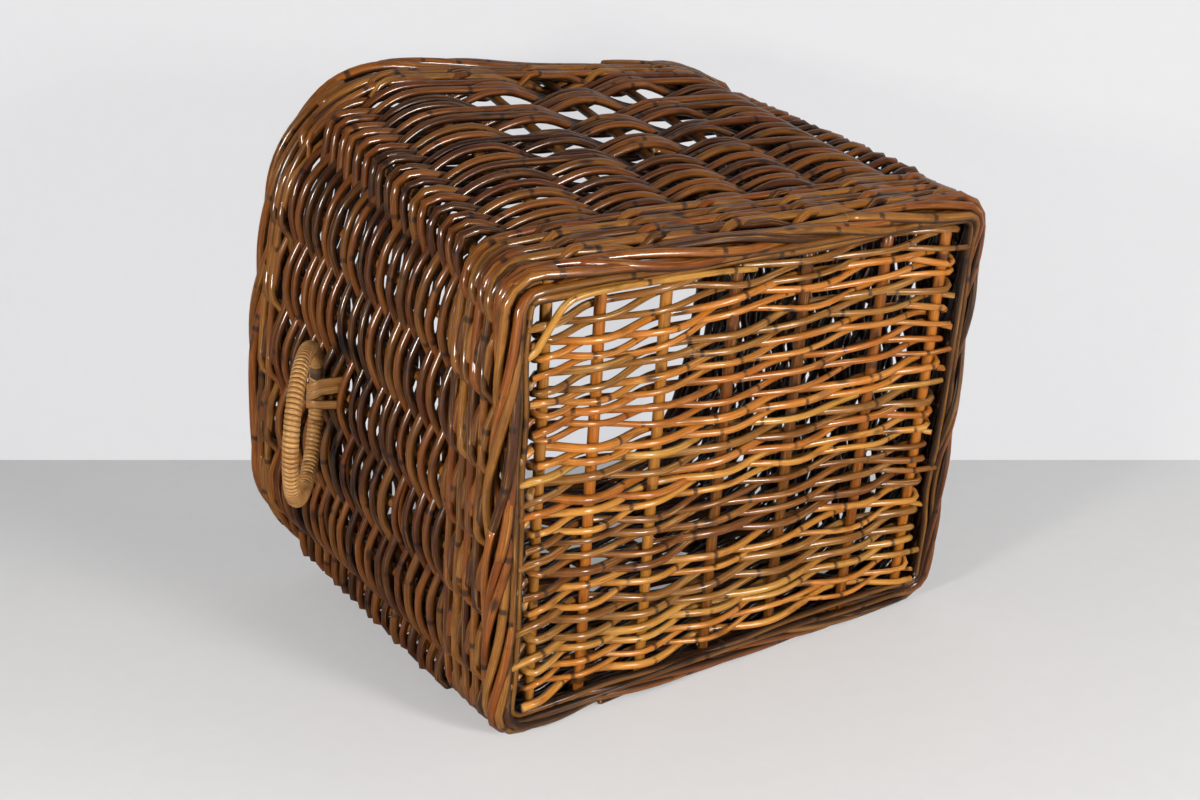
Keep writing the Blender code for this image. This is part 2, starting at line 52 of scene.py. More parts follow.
# The basket's shape, in metres, as the frame has it
basket = dict(
    baseLength=0.380, baseWidth=0.312, baseCorner=0.02205,
    mouthLength=0.410, mouthWidth=0.396, mouthCorner=0.093,
    endBow=0.012, height=0.326, turn=math.radians(4), tilt=0.046,
    weaveOut=0.00965, spans=6, stakeRadius=0.00375, postRadius=0.0045,
    foot=0.018, upsettTop=0.062, topWale=0.285, border=0.306,
    panelMiddle=0.01065, panelLength=0.3380, panelWidth=0.2700,
)
stakeCount = 4 * basket["spans"]


def outlineAt(length, width, radius, bow, u):
    # Point and outward way on a rounded rectangle; u counts stakes round the basket, from the front left post
    u = np.mod(u, stakeCount)
    side = np.floor(u / basket["spans"])
    share = u / basket["spans"] - side
    longSide = side % 2 == 0
    halfAlong = np.where(longSide, length / 2, width / 2)
    halfOut = np.where(longSide, width / 2, length / 2)
    arc = radius * math.pi / 4
    total = 2 * (halfAlong - radius) + 2 * arc
    reach = share * total
    fromEnd = np.minimum(reach, total - reach)
    sign = np.where(share < 0.5, -1, 1)
    inCorner = fromEnd < arc
    turn = np.where(inCorner, sign * math.pi / 4 * (1 - fromEnd / arc), 0)
    along = np.where(inCorner, sign * (halfAlong - radius) + radius * np.sin(turn), reach - total / 2)
    out = np.where(inCorner, halfOut - radius + radius * np.cos(turn), halfOut)
    cornerMiddle = halfAlong - radius + radius * math.sin(math.pi / 4)
    out = out + np.where(longSide, 0, bow) * (1 - (along / cornerMiddle) ** 2)
    angle = side * math.pi / 2
    alongWay = np.stack([np.cos(angle), np.sin(angle)], -1)
    outWay = np.stack([np.sin(angle), -np.cos(angle)], -1)
    place = alongWay * along[:, None] + outWay * out[:, None]
    facing = alongWay * np.sin(turn)[:, None] + outWay * np.cos(turn)[:, None]
    return place, facing


def wallPoints(u, z, offset):
    # Points offset outwards from the surface that the stakes stand in, and the outward ways there
    u, z, offset = np.broadcast_arrays(np.asarray(u, float), np.asarray(z, float), np.asarray(offset, float))
    b = basket
    low, lowFacing = outlineAt(b["baseLength"] - 2 * b["weaveOut"], b["baseWidth"] - 2 * b["weaveOut"],
                               b["baseCorner"] - b["weaveOut"], 0, u)
    high, highFacing = outlineAt(b["mouthLength"] - 2 * b["weaveOut"], b["mouthWidth"] - 2 * b["weaveOut"],
                                 b["mouthCorner"] - b["weaveOut"], b["endBow"], u)
    c, s = math.cos(b["turn"]), math.sin(b["turn"])
    turned = np.array([[c, s], [-s, c]])
    high, highFacing = high @ turned, highFacing @ turned
    t = (z / b["height"])[:, None]
    facing = lowFacing + (highFacing - lowFacing) * t
    facing = facing / np.linalg.norm(facing, axis=1)[:, None]
    flat = low + (high - low) * t + facing * offset[:, None]
    up = t[:, 0] * (b["height"] + b["tilt"] * high[:, 1])
    points = np.column_stack([flat, up])
    return points, np.column_stack([facing, np.zeros(len(points))])


def isPost(stake):
    return stake % basket["spans"] == 0


def stakeRadiusAt(stake):
    return basket["postRadius"] if isPost(stake) else basket["stakeRadius"]


def smoothStep(x):
    x = np.clip(x, 0, 1)
    return x * x * (3 - 2 * x)


def drift(a, b, c, size=1.0):
    # A gentle unevenness that neighbouring rods share
    return noise.noise(Vector((a, b, c))) * size


class RodBundle:
    # Rods that make one piece: each is a grid rolled into a tube along its path
    def __init__(self, name, sides=8):
        self.name = name
        self.sides = sides
        self.rods = []

    def add(self, path, facing, radius, flat=1.0, shade=0.0, tone=None, front=None):
        path = np.asarray(path, float)
        radius = np.broadcast_to(np.asarray(radius, float), len(path)).copy()
        tone = (random.random(), random.random()) if tone is None else tone
        self.rods.append((path, np.asarray(facing, float), radius, flat, shade, tone, front))

    def build(self, materials):
        bm = bmesh.new()
        straight = bm.verts.layers.float_vector.new("straight")
        toneLayer = bm.verts.layers.float_color.new("tone")
        for path, facing, radius, flat, shade, tone, front in self.rods:
            count = len(path)
            ahead = np.gradient(path, axis=0)
            ahead /= np.linalg.norm(ahead, axis=1)[:, None]
            out = facing - ahead * np.sum(facing * ahead, axis=1)[:, None]
            out /= np.linalg.norm(out, axis=1)[:, None]
            beside = np.cross(ahead, out)
            steps = np.linalg.norm(np.diff(path, axis=0), axis=1)
            length = np.concatenate([[0], np.cumsum(steps)]) + tone[0] * 40
            shades = np.broadcast_to(np.asarray(shade, float), count)
            grid = bmesh.ops.create_grid(bm, x_segments=count - 1, y_segments=self.sides, size=1)["verts"]
            for index, vert in enumerate(grid):
                k, i = divmod(index, count)
                angle = 2 * math.pi * (k % self.sides) / self.sides
                o, b = math.cos(angle) * radius[i] * flat, math.sin(angle) * radius[i]
                aside = out[i] * o + beside[i] * b
                vert.co = path[i] + aside
                if front is not None:
                    o, b = aside @ front, aside[1]
                vert[straight] = (length[i], o, b)
                vert[toneLayer] = (tone[0], tone[1], shades[i], 1)
        bmesh.ops.remove_doubles(bm, verts=bm.verts, dist=1e-6)
        open_ = [edge for edge in bm.edges if edge.is_boundary]
        caps = bmesh.ops.holes_fill(bm, edges=open_, sides=self.sides)["faces"]
        for face in caps:
            face.material_index = 1
        bmesh.ops.recalc_face_normals(bm, faces=bm.faces)
        mesh = bpy.data.meshes.new(self.name)
        bm.to_mesh(mesh)
        bm.free()
        mesh.shade_smooth()
        for material in materials:
            mesh.materials.append(material)
        thing = bpy.data.objects.new(self.name, mesh)
        bpy.context.collection.objects.link(thing)
        return thing


def standsFor(piece, nodes, body="basket"):
    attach(piece, body)
    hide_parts(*nodes)


class Wave:
    # Wraps a shader socket, so that materials are written as sums
    def __init__(self, tree, socket):
        self.tree = tree
        self.socket = socket

    def maths(self, operation, *others):
        node = self.tree.nodes.new("ShaderNodeMath")
        node.operation = operation
        for slot, value in zip(node.inputs, (self, *others)):
            self.tree.put(slot, value)
        return Wave(self.tree, node.outputs[0])

    def __add__(self, other):
        return self.maths("ADD", other)

    def __radd__(self, other):
        return self.maths("ADD", other)

    def __sub__(self, other):
        return self.maths("SUBTRACT", other)

    def __rsub__(self, other):
        return Wave.maths(self * -1, "ADD", other)

    def __mul__(self, other):
        return self.maths("MULTIPLY", other)

    def __rmul__(self, other):
        return self.maths("MULTIPLY", other)

    def __pow__(self, other):
        return self.maths("POWER", other)

    def between(self, low, high):
        # 0 under low, 1 over high, smooth between
        node = self.tree.node("ShaderNodeMapRange", dict(interpolation_type="SMOOTHSTEP"),
                              {"Value": self, "From Min": low, "From Max": high})
        return node


class Finish:
    # One material, with a method for each kind of node
    def __init__(self, name):
        self.material = bpy.data.materials.new(name)
        self.material.use_nodes = True
        self.nodes = self.material.node_tree.nodes
        self.links = self.material.node_tree.links
        self.shader = self.nodes["Principled BSDF"]

    def put(self, slot, value):
        if isinstance(value, Wave):
            self.links.new(value.socket, slot)
        elif isinstance(value, tuple) and len(value) == 3 and slot.type == "RGBA":
            slot.default_value = (*value, 1)
        else:
            slot.default_value = value

    def node(self, kind, settings=None, values=None, output=0):
        node = self.nodes.new(kind)
        for key, value in (settings or {}).items():
            setattr(node, key, value)
        for key, value in (values or {}).items():
            self.put(node.inputs[key], value)
        return Wave(self, node.outputs[output])

    def mix(self, factor, first, second, blend="MIX"):
        node = self.nodes.new("ShaderNodeMix")
        node.data_type = "RGBA"
        node.blend_type = blend
        self.put(node.inputs["Factor"], factor)
        self.put(node.inputs[6], first)
        self.put(node.inputs[7], second)
        return Wave(self, node.outputs[2])

    def scaled(self, vector, scale):
        return self.node("ShaderNodeVectorMath", dict(operation="MULTIPLY"), {0: vector, 1: scale})

    def noise(self, vector, scale, detail=3.0, rough=0.55):
        return self.node("ShaderNodeTexNoise", dict(), {"Vector": vector, "Scale": scale, "Detail": detail,
                                                        "Roughness": rough})

    def spots(self, vector, low, high):
        # 1 at the middle of scattered spots, 0 away from them
        far = self.node("ShaderNodeTexVoronoi", dict(feature="F1"), {"Vector": vector, "Scale": 1.0})
        return 1 - far.between(low, high)

    def rings(self, length, low, high):
        # 1 on thin lines that cross a rod at uneven distances, 0 between them
        far = self.node("ShaderNodeTexVoronoi", dict(feature="F1", voronoi_dimensions="1D"),
                        {"W": length, "Scale": 1.0})
        return 1 - far.between(low, high)

    def set(self, **values):
        for key, value in values.items():
            self.put(self.shader.inputs[key.replace("_", " ")], value)


def willowFinish(name, look):
    # Varnished willow: each rod has its own tone, changes along its length, is streaked and mottled (the pale
    # streaks are grain and partly a painted highlight), has dark leaf scars and rings, and has a painted
    # shade that darkens its back and edges
    f = Finish(name)
    rod = f.node("ShaderNodeAttribute", dict(attribute_name="straight"), output=1)
    tone = f.node("ShaderNodeAttribute", dict(attribute_name="tone"), output=0)
    parts = f.nodes.new("ShaderNodeSeparateColor")
    f.put(parts.inputs[0], tone)
    first, second, shade = (Wave(f, parts.outputs[i]) for i in range(3))
    places = f.nodes.new("ShaderNodeSeparateXYZ")
    f.put(places.inputs[0], rod)
    front = Wave(f, places.outputs[1])
    slow = f.noise(f.scaled(rod, (6, 10, 10)), 1.0, 2.0)
    blotches = f.noise(f.scaled(rod, (34, 120, 120)), 1.0, 4.0, 0.6)
    fibres = f.noise(f.scaled(rod, (30, 1300, 1300)), 1.0, 4.0, 0.65)
    fine = f.noise(f.scaled(rod, (260, 900, 900)), 1.0, 3.0)
    scars = f.spots(f.scaled(rod, (26, 60, 60)), 0.06, 0.20)
    rings = f.rings(Wave(f, places.outputs[0]) * look["nodes"], 0.010, 0.032) * blotches.between(0.38, 0.5)
    specks = fine.between(0.64, 0.72)
    body = f.mix((first * 0.9 + slow * 1.0 - 0.5).between(0.0, 0.85), look["dark"], look["light"])
    warmth = (second * 1.1 + blotches * 1.1 - 0.85).between(0.0, 0.75) * look["warmth"]
    body = f.mix(warmth, body, look["warm"])
    # pale streaks along the grain: partly the wood's own grain, partly a painted highlight along the rods
    body = f.mix(fibres.between(0.50, 0.72) * 0.55, body, look["streakAndSheen"])
    body = f.mix((1 - fibres).between(0.52, 0.72) * 0.45, body, look["stain"])
    body = f.mix(blotches.between(0.50, 0.72) * look["mottle"], body, look["stain"])
    marks = (scars * 0.85 + rings * 0.85 + specks * 0.45).maths("MINIMUM", 1.0)
    body = f.mix(marks * look["scar"], body, look["scarColour"])
    # painted shade: the side of each rod turned away from its outside, and so its edges too, is mixed towards
    # the deep colour, together with the shade channel of the tone layer
    back = (0.0011 - front).between(0.0, 0.0034)
    body = f.mix((back * look["back"] + shade).maths("MINIMUM", 1.0), body, look["deep"])
    f.set(Base_Color=body, Roughness=look["rough"] + fibres * 0.16 + marks * 0.2,
          Specular_IOR_Level=look["gloss"],
          Coat_Weight=look["coat"] - blotches * 0.35, Coat_Roughness=look["coatRough"])
    height = fibres * 0.35 + marks * 0.4 + blotches * 0.8 + fine * 0.15
    bump = f.node("ShaderNodeBump", dict(), {"Height": height, "Strength": 0.45, "Distance": 0.0007})
    f.set(Normal=bump)
    return f.material


def cutFinish(name, colour, dark):
    # The sawn end of a rod: pale wood, darker at its pith
    f = Finish(name)
    place = f.node("ShaderNodeTexCoord", output=3)
    grain = f.noise(place, 900.0, 4.0)
    f.set(Base_Color=f.mix(grain, dark, colour), Roughness=0.6 + grain * 0.2)
    return f.material


# In each look, deep is the colour of the painted shade on each rod's back and edges, and the pale streak
# colour is grain that also stands for a painted highlight
willow = dict(
    side=dict(dark=(0.034, 0.0075, 0.001), light=(0.150, 0.051, 0.0055), warm=(0.175, 0.036, 0.002),
              streakAndSheen=(0.36, 0.165, 0.035), stain=(0.014, 0.0035, 0.0007), deep=(0.006, 0.002, 0.001),
              scarColour=(0.008, 0.003, 0.002), warmth=0.5, mottle=0.65, scar=0.9, back=0.95, nodes=12.0,
              rough=0.34, gloss=0.12, coat=1.0, coatRough=0.17),
    base=dict(dark=(0.150, 0.044, 0.006), light=(0.52, 0.250, 0.040), warm=(0.50, 0.145, 0.012),
              streakAndSheen=(0.76, 0.54, 0.23), stain=(0.085, 0.024, 0.005), deep=(0.02, 0.006, 0.002),
              scarColour=(0.018, 0.008, 0.005), warmth=0.7, mottle=0.6, scar=0.95, back=0.88, nodes=15.0,
              rough=0.30, gloss=0.15, coat=0.85, coatRough=0.17),
    foot=dict(dark=(0.048, 0.0115, 0.002), light=(0.245, 0.094, 0.013), warm=(0.28, 0.064, 0.005),
              streakAndSheen=(0.52, 0.28, 0.065), stain=(0.032, 0.009, 0.002), deep=(0.010, 0.003, 0.001),
              scarColour=(0.012, 0.005, 0.003), warmth=0.6, mottle=0.6, scar=0.95, back=0.95, nodes=11.0,
              rough=0.32, gloss=0.12, coat=1.0, coatRough=0.17),
    stake=dict(dark=(0.070, 0.023, 0.006), light=(0.34, 0.140, 0.026), warm=(0.36, 0.105, 0.013),
               streakAndSheen=(0.44, 0.22, 0.055), stain=(0.030, 0.011, 0.004), deep=(0.01, 0.004, 0.002),
               scarColour=(0.008, 0.005, 0.004), warmth=0.5, mottle=0.6, scar=0.9, back=0.5, nodes=9.0,
               rough=0.36, gloss=0.2, coat=0.6, coatRough=0.22),
    stick=dict(dark=(0.09, 0.026, 0.005), light=(0.36, 0.14, 0.020), warm=(0.42, 0.11, 0.009),
               streakAndSheen=(0.48, 0.25, 0.06), stain=(0.040, 0.014, 0.004), deep=(0.02, 0.007, 0.003),
               scarColour=(0.014, 0.007, 0.005), warmth=0.6, mottle=0.55, scar=0.9, back=0.5, nodes=9.0,
               rough=0.32, gloss=0.2, coat=0.6, coatRough=0.18),
    cane=dict(dark=(0.30, 0.130, 0.033), light=(0.60, 0.350, 0.12), warm=(0.48, 0.20, 0.035),
              streakAndSheen=(0.72, 0.48, 0.21), stain=(0.17, 0.065, 0.016), deep=(0.03, 0.012, 0.004),
              scarColour=(0.05, 0.018, 0.006), warmth=0.55, mottle=0.5, scar=0.7, back=0.3, nodes=10.0,
              rough=0.40, gloss=0.3, coat=0.5, coatRough=0.25),
    core=dict(dark=(0.13, 0.070, 0.035), light=(0.32, 0.20, 0.11), warm=(0.28, 0.14, 0.05),
              streakAndSheen=(0.42, 0.30, 0.18), stain=(0.08, 0.045, 0.025), deep=(0.03, 0.015, 0.01),
              scarColour=(0.03, 0.015, 0.01), warmth=0.4, mottle=0.6, scar=0.6, back=0.3, nodes=8.0,
              rough=0.40, gloss=0.3, coat=0.4, coatRough=0.25),
)
cutEnd = cutFinish("cutWood", (0.42, 0.25, 0.11), (0.16, 0.08, 0.03))
finishes = {key: [willowFinish("willow_" + key, look), cutEnd] for key, look in willow.items()}
print("finishes made:", len(finishes))

# Upright rods
stakes = dict(foot=0.0090, top=0.3045, steps=14, taper=0.12, wander=0.0005)


def stakeName(stake):
    side = stake // basket["spans"]
    if isPost(stake):
        return "corner_post_" + ("front_left", "front_right", "back_right", "back_left")[side]
    return ("front", "right", "back", "left")[side] + "_stake_" + str(stake % basket["spans"])


def makeStakes():
    for stake in range(stakeCount):
        z = np.linspace(stakes["foot"], stakes["top"], stakes["steps"])
        share = (z - z[0]) / (z[-1] - z[0])
        wander = np.array([drift(stake * 3.1, v * 9, 0.5, stakes["wander"] / 0.5) for v in z])
        path, facing = wallPoints(stake + wander * 8, z, wander * 0.4)
        radius = stakeRadiusAt(stake) * (1 - stakes["taper"] * share)
        rods = RodBundle(stakeName(stake) + "_rod")
        rods.add(path, facing, radius)
        standsFor(rods.build(finishes["stake"]), [stakeName(stake)])


# Rods woven round the walls, each climbing a row per turn; on the long walls the upper rows run in bundles
sideRods = dict(radius=0.00322, rows=35, steps=10, bundleFrom=11, bundles=(3, 3, 3, 3, 4, 4, 4), start=15,
                bundleStakes=(2, 3, 4), unevenness=0.0022, own=0.0017, ridge=0.0060, kink=0.5,
                lengthSpans=(15, 30), overlap=1.6)


def bundleOf(row):
    # Which bundle a row belongs to on a long wall, counted so that odd and even bundles alternate
    left = row - sideRods["bundleFrom"]
    if left < 0:
        return row
    for number, size in enumerate(sideRods["bundles"]):
        if left < size:
            return sideRods["bundleFrom"] + number
        left -= size
    return sideRods["bundleFrom"] + len(sideRods["bundles"])


def rowSide(row, stake):
    onLongWall = (stake // basket["spans"]) % 2 == 0
    number = bundleOf(row) if onLongWall and stake % basket["spans"] in sideRods["bundleStakes"] else row
    return 1 if (number + stake) % 2 == 1 else -1


def passAt(count, radius):
    # Row, height share and signed reach of the long run at its stake number count
    row = count // stakeCount
    stake = (sideRods["start"] + count) % stakeCount
    side = rowSide(min(row, sideRods["rows"] - 1), stake)
    ridge = sideRods["ridge"] if isPost(stake) and side > 0 else 0
    return row, side * (stakeRadiusAt(stake) + radius) + ridge


def sideRun(u, radius):
    # Row and offset along the run; u counts stakes from the start of the lowest row
    whole = np.floor(u).astype(int)
    share = u - whole
    here = np.array([passAt(int(c), radius) for c in whole], float)
    there = np.array([passAt(int(c) + 1, radius) for c in whole], float)
    post = np.array([isPost((sideRods["start"] + int(c)) % stakeCount) for c in whole])
    nextPost = np.array([isPost((sideRods["start"] + int(c) + 1) % stakeCount) for c in whole])
    eased = smoothStep(share * 1.12 - 0.06)
    eased = np.where(post, smoothStep(share * 1.15) ** sideRods["kink"], eased)
    eased = np.where(nextPost, 1 - smoothStep((1 - share) * 1.15) ** sideRods["kink"], eased)
    offset = here[:, 1] + (there[:, 1] - here[:, 1]) * eased
    row = here[:, 0] + (there[:, 0] - here[:, 0]) * smoothStep(share)
    return row, offset


def makeSideRods():
    low, high = basket["upsettTop"], basket["topWale"]
    pitch = (high - low) / sideRods["rows"]
    perBand = sideRods["rows"] // 7
    for band in range(7):
        rods = RodBundle("side_rods_" + str(band + 1))
        begin = band * perBand * stakeCount
        finish = begin + perBand * stakeCount - 1
        at = begin
        while at < finish - 1:
            last = min(at + random.uniform(*sideRods["lengthSpans"]), finish)
            last = finish if finish - last < 6 else last
            first = max(begin, at - sideRods["overlap"])
            u = np.linspace(first, last, int((last - first) * sideRods["steps"]))
            radius = sideRods["radius"] * random.uniform(0.86, 1.08)
            row, offset = sideRun(u, sideRods["radius"])
            z = low + (row + 0.5) * pitch
            angle = (u + sideRods["start"]) * 2 * math.pi / stakeCount
            size = sideRods["unevenness"] / 0.5
            uneven = np.array([drift(math.cos(a) * 2.4, math.sin(a) * 2.4, h * 16, size)
                               for a, h in zip(angle, z)])
            own = np.array([drift(v * 0.8, band * 7.7, 1.5, sideRods["own"] / 0.5) for v in u])
            # where two rods overlap, the new one starts inside the wall behind the old one
            fade = smoothStep((u - first) / sideRods["overlap"]) if first > begin else np.ones(len(u))
            path, facing = wallPoints(u + sideRods["start"], z + uneven + own,
                                      offset - (1 - fade) * radius * 1.5)
            share = (u - first) / (last - first)
            rods.add(path, facing, radius * (1.06 - 0.16 * share))
            at = last
        standsFor(rods.build(finishes["side"]), ["side_weave_" + str(band + 1)])


# Stout rods in threes, each over two stakes and under one
wale = dict(radius=0.0033, steps=10, uneven=0.0022,
            keys=((0, 1.05, 0.42), (0.55, 1.1, 0.2), (1.1, 1.0, -0.25), (1.6, 0.1, -0.5),
                  (2, -1.0, -0.5), (2.42, 0.0, -0.55), (2.7, 1.35, -0.15), (3, 1.05, 0.42)))


def walePath(u, strand, radius):
    # Outward and upward places of one rod of a wale, eased between the given keys of its three-stake beat
    phase = np.mod(u + strand, 3)
    keys = np.array(wale["keys"])
    index = np.clip(np.searchsorted(keys[:, 0], phase, side="right") - 1, 0, len(keys) - 2)
    move = smoothStep((phase - keys[index, 0]) / (keys[index + 1, 0] - keys[index, 0]))
    out = keys[index, 1] + (keys[index + 1, 1] - keys[index, 1]) * move
    up = keys[index, 2] + (keys[index + 1, 2] - keys[index, 2]) * move
    return out, up * 2 * radius


def makeWale(name, rounds, nodes, radius=None):
    radius = radius or wale["radius"]
    rods = RodBundle(name)
    for number, z in enumerate(rounds):
        for strand in range(3):
            start = random.uniform(0, stakeCount)
            u = np.arange(0, stakeCount + 0.9, 1 / wale["steps"]) + start
            out, up = walePath(u, strand + number, radius)
            uneven = np.array([drift(v * 0.7, z * 30 + strand * 5, 3.3, wale["uneven"]) for v in u])
            path, facing = wallPoints(u, z + up + uneven, out * (basket["stakeRadius"] + radius))
            share = (u - start) / (u[-1] - start)
            rods.add(path, facing, radius * (1.1 - 0.22 * share))
    standsFor(rods.build(finishes["foot"]), nodes)


# Rope-like borders: long rods that wind slowly round the line of the stakes' ends
borders = dict(
    mouth=dict(strands=5, radius=0.0039, out=0.0066, up=0.0090, turns=4, middle=0.3160,
               uneven=0.0040, shift=0.0, edgeRods=()),
    foot=dict(strands=7, radius=0.0033, out=0.0050, up=0.0074, turns=5, middle=0.0108,
              uneven=0.0026, shift=0.0030, edgeRadius=0.0027,
              edgeRods=((-0.0062, 0.0040), (-0.0012, 0.0030))),
)
borderSteps = 8


def makeBorder(name, look, nodes):
    rods = RodBundle(name)
    for strand in range(look["strands"]):
        u = np.arange(0, stakeCount + 0.5, 1 / borderSteps) + strand * 4.1
        angle = 2 * math.pi * (strand / look["strands"] + look["turns"] * u / stakeCount)
        angle = angle + np.array([drift(v * 0.45, strand * 3.3, 4.1, 1.1) for v in u])
        uneven = np.array([drift(v * 0.5, strand * 9.1, 7.7, look["uneven"] / 0.5) for v in u])
        path, facing = wallPoints(u, look["middle"] - np.sin(angle) * look["up"] + uneven,
                                  look["shift"] + np.cos(angle) * look["out"] + uneven * 0.6)
        share = np.linspace(0, 1, len(u))
        rods.add(path, facing, look["radius"] * (1.1 - 0.22 * share))
    for number, (aside, height) in enumerate(look["edgeRods"]):
        u = np.arange(0, stakeCount + 0.5, 1 / borderSteps) + number * 13.7
        uneven = np.array([drift(v * 0.8, number * 6.7, 8.3, look["uneven"] / 0.5) for v in u])
        path, facing = wallPoints(u, height + np.abs(uneven) * 0.5, aside + uneven * 0.7)
        rods.add(path, facing, look["edgeRadius"] * np.linspace(1.1, 0.8, len(u)),
                 tone=(0.8 - 0.3 * number, 0.3))
    standsFor(rods.build(finishes["foot"]), nodes)


# The base: seven sticks and the thin rods that snake across them
base = dict(stickShares=(-1, -0.76, -0.458, -0.123, 0.238, 0.662, 1), endPlace=0.1595, stickRadius=0.0038,
            rows=49, rodRadius=0.00248, steps=10, unevenness=0.0026, own=0.0030, sag=0.011, sagReach=0.11,
            spread=0.0038, ends=(0.008, 0.021), thickness=(0.82, 1.14),
            loose=((-0.1775, -0.100), (-0.169, -0.112), (-0.160, -0.126), (-0.152, -0.1365),
                   (-0.142, -0.1400), (-0.118, -0.1405), (-0.096, -0.1400), (-0.064, -0.1395),
                   (-0.034, -0.1380), (-0.010, -0.136)),
            looseHeight=0.0012)


def stickPlaces():
    return [share * base["endPlace"] for share in base["stickShares"]]


def makeSticks():
    for number, x in enumerate(stickPlaces()):
        y = np.linspace(-0.5, 0.5, 16) * (basket["panelWidth"] + 0.028)
        wander = np.array([drift(v * 12, number * 4.4, 2.2, 0.0014) for v in y])
        path = np.column_stack([x + wander, y, basket["panelMiddle"] + wander * 0.3])
        rods = RodBundle("base_stick_rod_" + str(number + 1))
        rods.add(path, np.tile([0.0, 0.0, -1.0], (len(path), 1)),
                 base["stickRadius"] * (1.0 - 0.08 * np.linspace(0, 1, len(path))))
        standsFor(rods.build(finishes["stick"]), ["base_stick_" + str(number + 1)])


def makeBaseRods():
    sticks = stickPlaces()
    width = basket["panelWidth"] + 2 * base["spread"]
    pitch = width / base["rows"]
    reach = base["stickRadius"] + base["rodRadius"]
    perBand = base["rows"] // 7
    bundles = [RodBundle("base_rods_" + str(band + 1)) for band in range(7)]
    row = 0
    while row < base["rows"]:
        count = min(random.choice((2, 3, 3, 4)), perBand - row % perBand)
        points = []
        for step in range(count):
            here = row + step
            y = -width / 2 + (here + 0.5) * pitch
            ways = list(range(len(sticks)))
            if step % 2:
                ways.reverse()
            side = {stick: (1 if (here + stick) % 2 else -1) for stick in ways}
            keys = [(sticks[stick], side[stick]) for stick in ways]
            for (x0, s0), (x1, s1) in zip(keys, keys[1:]):
                for move in np.arange(0, 1, 1 / base["steps"]):
                    eased = float(smoothStep(move))
                    points.append((x0 + (x1 - x0) * move, y, (s0 + (s1 - s0) * eased) * reach))
            xEnd, sEnd = keys[-1]
            outward = 1 if xEnd > 0 else -1
            points.append((xEnd, y, sEnd * reach))
            if step < count - 1:
                for turn in (0.25, 0.5, 0.75):
                    a = math.pi * turn
                    points.append((xEnd + outward * math.sin(a) * reach, y + pitch * turn,
                                   sEnd * reach * math.cos(a)))
            else:
                points.append((xEnd + outward * random.uniform(*base["ends"]), y, -reach * 1.05))
        first = points[0]
        outward = 1 if first[0] > 0 else -1
        points.insert(0, (first[0] + outward * random.uniform(*base["ends"]), first[1], -reach * 1.05))
        path = np.array(points)
        wave = np.array([drift(q[0] * 11, q[1] * 14, 5.5, base["unevenness"] / 0.5)
                         + drift(q[0] * 16, row * 5.3 + q[1] * 60, 9.5, base["own"] / 0.5) for q in path])
        # in one corner the first rows hang away from the foot, and leave it open
        corner = smoothStep(1 - (path[:, 0] + basket["panelLength"] / 2) / (1.6 * base["sagReach"]))
        corner = corner * smoothStep(1 - (path[:, 1] + basket["panelWidth"] / 2) / base["sagReach"])
        path[:, 1] += wave + corner * base["sag"]
        path[:, 2] += basket["panelMiddle"]
        share = np.linspace(0, 1, len(path))
        bundle = bundles[row // perBand]
        bundle.add(path, np.tile([0.0, 1.0, 0.02], (len(path), 1)),
                   base["rodRadius"] * random.uniform(*base["thickness"]) * (1.12 - 0.26 * share),
                   front=np.array([0, 0, -1.0]))
        row += count
    # one loose rod bends over the open corner, in front of the foot's inner rods
    loose = np.array(base["loose"])
    at = np.linspace(0, len(loose) - 1, 60)
    keys = np.arange(len(loose))
    bends = [np.pad(np.interp(at, keys, loose[:, axis]), 3, mode="edge") for axis in range(2)]
    slide = np.array([np.convolve(bend, np.ones(7) / 7, "valid") for bend in bends]).T
    path = np.column_stack([slide, base["looseHeight"] + 0.006 * (1 - smoothStep(at))])
    bundles[0].add(path, np.tile([0.0, 0.0, -1.0], (len(path), 1)),
                   base["rodRadius"] * np.linspace(0.98, 0.80, len(path)),
                   tone=(0.70, 0.15), front=np.array([0, 0, -1.0]))
    for band, bundle in enumerate(bundles):
        standsFor(bundle.build(finishes["base"]), ["base_weave_" + str(band + 1)])


# Ring handles
ring = dict(outer=0.109, tube=0.0054, core=0.0038, joint=0.0049, hang=math.radians(34),
            bare=(0.0148, 0.012), turns=92, pointsPerTurn=16, caneWide=0.00172, caneThick=0.00065)
hinges = {joint["child"]: (Vector(joint["pos_m"]), Vector(joint["axis"]).normalized())
          for joint in frame["joints"]}


def ringFrame(body):
    point, axis = hinges[body]
    out = Vector((0, 0, 1)).cross(axis).normalized()
    out = -out if out.dot(point) < 0 else out
    down = -Vector((0, 0, 1)) * math.cos(ring["hang"]) + out * math.sin(ring["hang"])
    return point, axis, out, down


def ringPoint(body, turn, out=0.0, along=0.0):
    # On the ring's middle circle at an angle from its top, then out from it and along the axis of its plane
    point, axis, _, down = ringFrame(body)
    radius = ring["outer"] / 2 - ring["tube"]
    way = -down * math.cos(turn) + axis * math.sin(turn)
    return point + down * radius + way * (radius + out) + axis.cross(down) * along, way


